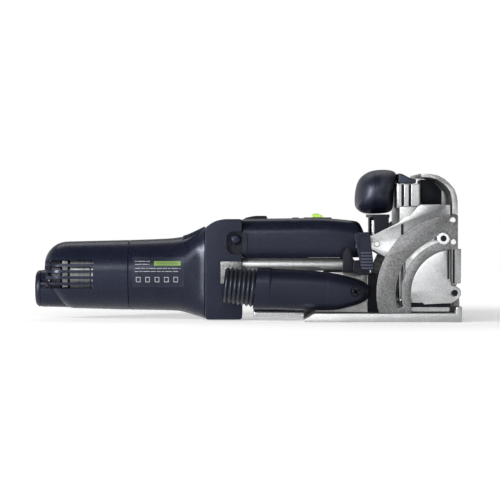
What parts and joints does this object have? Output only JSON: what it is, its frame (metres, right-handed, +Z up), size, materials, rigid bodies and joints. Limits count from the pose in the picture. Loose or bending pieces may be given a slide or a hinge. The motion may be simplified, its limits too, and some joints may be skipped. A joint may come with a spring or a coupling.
{
  "type": "biscuit joiner",
  "caption": "Plunging loose-tenon joiner with barrel motor, bellows dust spout, tilting cast fence on two posts, quadrants, grip and swinging cutter spindle.",
  "frame": {"origin": "middle of the box's underside: on the sole's plane, midway between the face that meets the workpiece and the rear of the power inlet", "axes": "+X forward to the workpiece, +Y to the operator's left, +Z up from the sole"},
  "size_m": [0.39, 0.15, 0.1387],
  "materials": {
    "dark_plastic": "fine spark-textured moulding, dark blue-grey",
    "black_plastic": "satin black moulding",
    "soft_rubber": "matt ribbed rubber",
    "cast_aluminium": "machined and tumbled die-casting, satin",
    "bright_steel": "ground and lightly oiled",
    "copper": "drawn and lacquered",
    "green_plastic": "bright yellow-green moulding"
  },
  "bodies": {
    "guide_frame": {"base_frame": "cast_aluminium", "height_post_right": "bright_steel", "height_post_left": "bright_steel", "base_rail_right": "bright_steel", "base_rail_left": "bright_steel", "column_bush_right": "black_plastic", "column_bush_left": "black_plastic", "chip_chute": "black_plastic", "return_spring": "bright_steel", "dust_duct": "dark_plastic", "duct_screw": "bright_steel", "duct_bellows": "soft_rubber", "depth_axle": "bright_steel"},
    "motor_unit": {"motor_housing": "dark_plastic", "rear_cap": "dark_plastic", "power_inlet": "dark_plastic", "gear_head": "dark_plastic", "gear_hood": "dark_plastic", "column_clamp_right": "cast_aluminium", "column_clamp_left": "cast_aluminium", "guide_column_right": "bright_steel", "guide_column_left": "bright_steel", "depth_stop_rod": "bright_steel", "stator_core": "bright_steel", "carbon_brush_right": "black_plastic", "carbon_brush_left": "black_plastic", "rear_bearing": "bright_steel", "front_bearing": "bright_steel", "gear_case": "cast_aluminium"},
    "rotor": {"rotor_shaft": "bright_steel", "rotor_core": "bright_steel", "commutator": "copper", "cooling_fan": "black_plastic", "drive_pinion": "bright_steel"},
    "spindle_arm": {"spindle_arm": "cast_aluminium"},
    "idler": {"idler_gear": "bright_steel"},
    "spindle": {"spindle_gear": "bright_steel", "tool_spindle": "bright_steel", "mortise_cutter": "bright_steel"},
    "depth_drum": {"depth_drum": "black_plastic"},
    "power_switch": {"power_switch": "black_plastic"},
    "width_dial": {"width_dial": "black_plastic", "dial_pointer": "green_plastic"},
    "release_button": {"release_button": "black_plastic"},
    "fence_carriage": {"carriage_body": "cast_aluminium", "carriage_side_right": "cast_aluminium", "carriage_side_left": "cast_aluminium", "fence_pin_right": "bright_steel", "fence_pin_left": "bright_steel", "angle_clamp_bolt": "bright_steel", "height_pointer": "bright_steel", "handle_grip": "dark_plastic", "handle_bracket": "black_plastic", "column_cap": "dark_plastic"},
    "height_lever": {"height_clamp_lever": "dark_plastic"},
    "angle_lever": {"angle_clamp_lever": "dark_plastic"},
    "swivel_fence": {"swivel_fence": "cast_aluminium", "fence_quadrant_right": "cast_aluminium", "fence_quadrant_left": "cast_aluminium", "sight_insert": "black_plastic"}
  },
  "joints": [
    {"name": "plunge", "type": "slide", "parent": "guide_frame", "child": "motor_unit", "axis": [1, 0, 0], "range_m": [0, 0.028], "stiffness_N_per_m": 500, "springref_m": -0.03, "deforming": ["return_spring"]},
    {"name": "motor_spin", "type": "hinge", "parent": "motor_unit", "child": "rotor", "pos_m": [0, 0, 0.041], "axis": [1, 0, 0], "continuous": true},
    {"name": "spindle_swing", "type": "hinge", "parent": "motor_unit", "child": "spindle_arm", "pos_m": [0, 0, 0.041], "axis": [1, 0, 0], "range_deg": [-22, 22], "stiffness_Nm_per_rad": 0.6},
    {"name": "idler_spin", "type": "hinge", "parent": "spindle_arm", "child": "idler", "pos_m": [0, 0, 0.02455], "axis": [1, 0, 0], "continuous": true},
    {"name": "spindle_spin", "type": "hinge", "parent": "spindle_arm", "child": "spindle", "pos_m": [0, 0, 0.01], "axis": [1, 0, 0], "continuous": true},
    {"name": "depth_select", "type": "hinge", "parent": "guide_frame", "child": "depth_drum", "pos_m": [0, 0.048, 0.028], "axis": [1, 0, 0], "range_deg": [0, 360]},
    {"name": "switch_slide", "type": "slide", "parent": "motor_unit", "child": "power_switch", "axis": [1, 0, 0], "range_m": [0, 0.005]},
    {"name": "width_select", "type": "hinge", "parent": "motor_unit", "child": "width_dial", "pos_m": [0.067, 0, 0.094], "axis": [0, 0, 1], "range_deg": [-40, 40]},
    {"name": "release_press", "type": "slide", "parent": "motor_unit", "child": "release_button", "axis": [0, 1, 0], "range_m": [0, 0.003], "stiffness_N_per_m": 800, "springref_m": -0.003},
    {"name": "fence_height", "type": "slide", "parent": "guide_frame", "child": "fence_carriage", "axis": [0, 0, 1], "range_m": [0, 0.025]},
    {"name": "height_clamp", "type": "hinge", "parent": "fence_carriage", "child": "height_lever", "pos_m": [0.1054, -0.07, 0.073], "axis": [0, 1, 0], "range_deg": [0, 60]},
    {"name": "angle_clamp", "type": "hinge", "parent": "fence_carriage", "child": "angle_lever", "pos_m": [0.17802, 0.072, 0.07556], "axis": [0, 1, 0], "range_deg": [0, 45]},
    {"name": "fence_tilt", "type": "hinge", "parent": "fence_carriage", "child": "swivel_fence", "pos_m": [0.1882, 0, 0.0264], "axis": [0, 1, 0], "range_deg": [0, 90]}
  ],
  "couplings": [
    {"joint": "idler_spin", "follows": "motor_spin", "ratio": -1},
    {"joint": "spindle_spin", "follows": "motor_spin", "ratio": 1.3333}
  ]
}
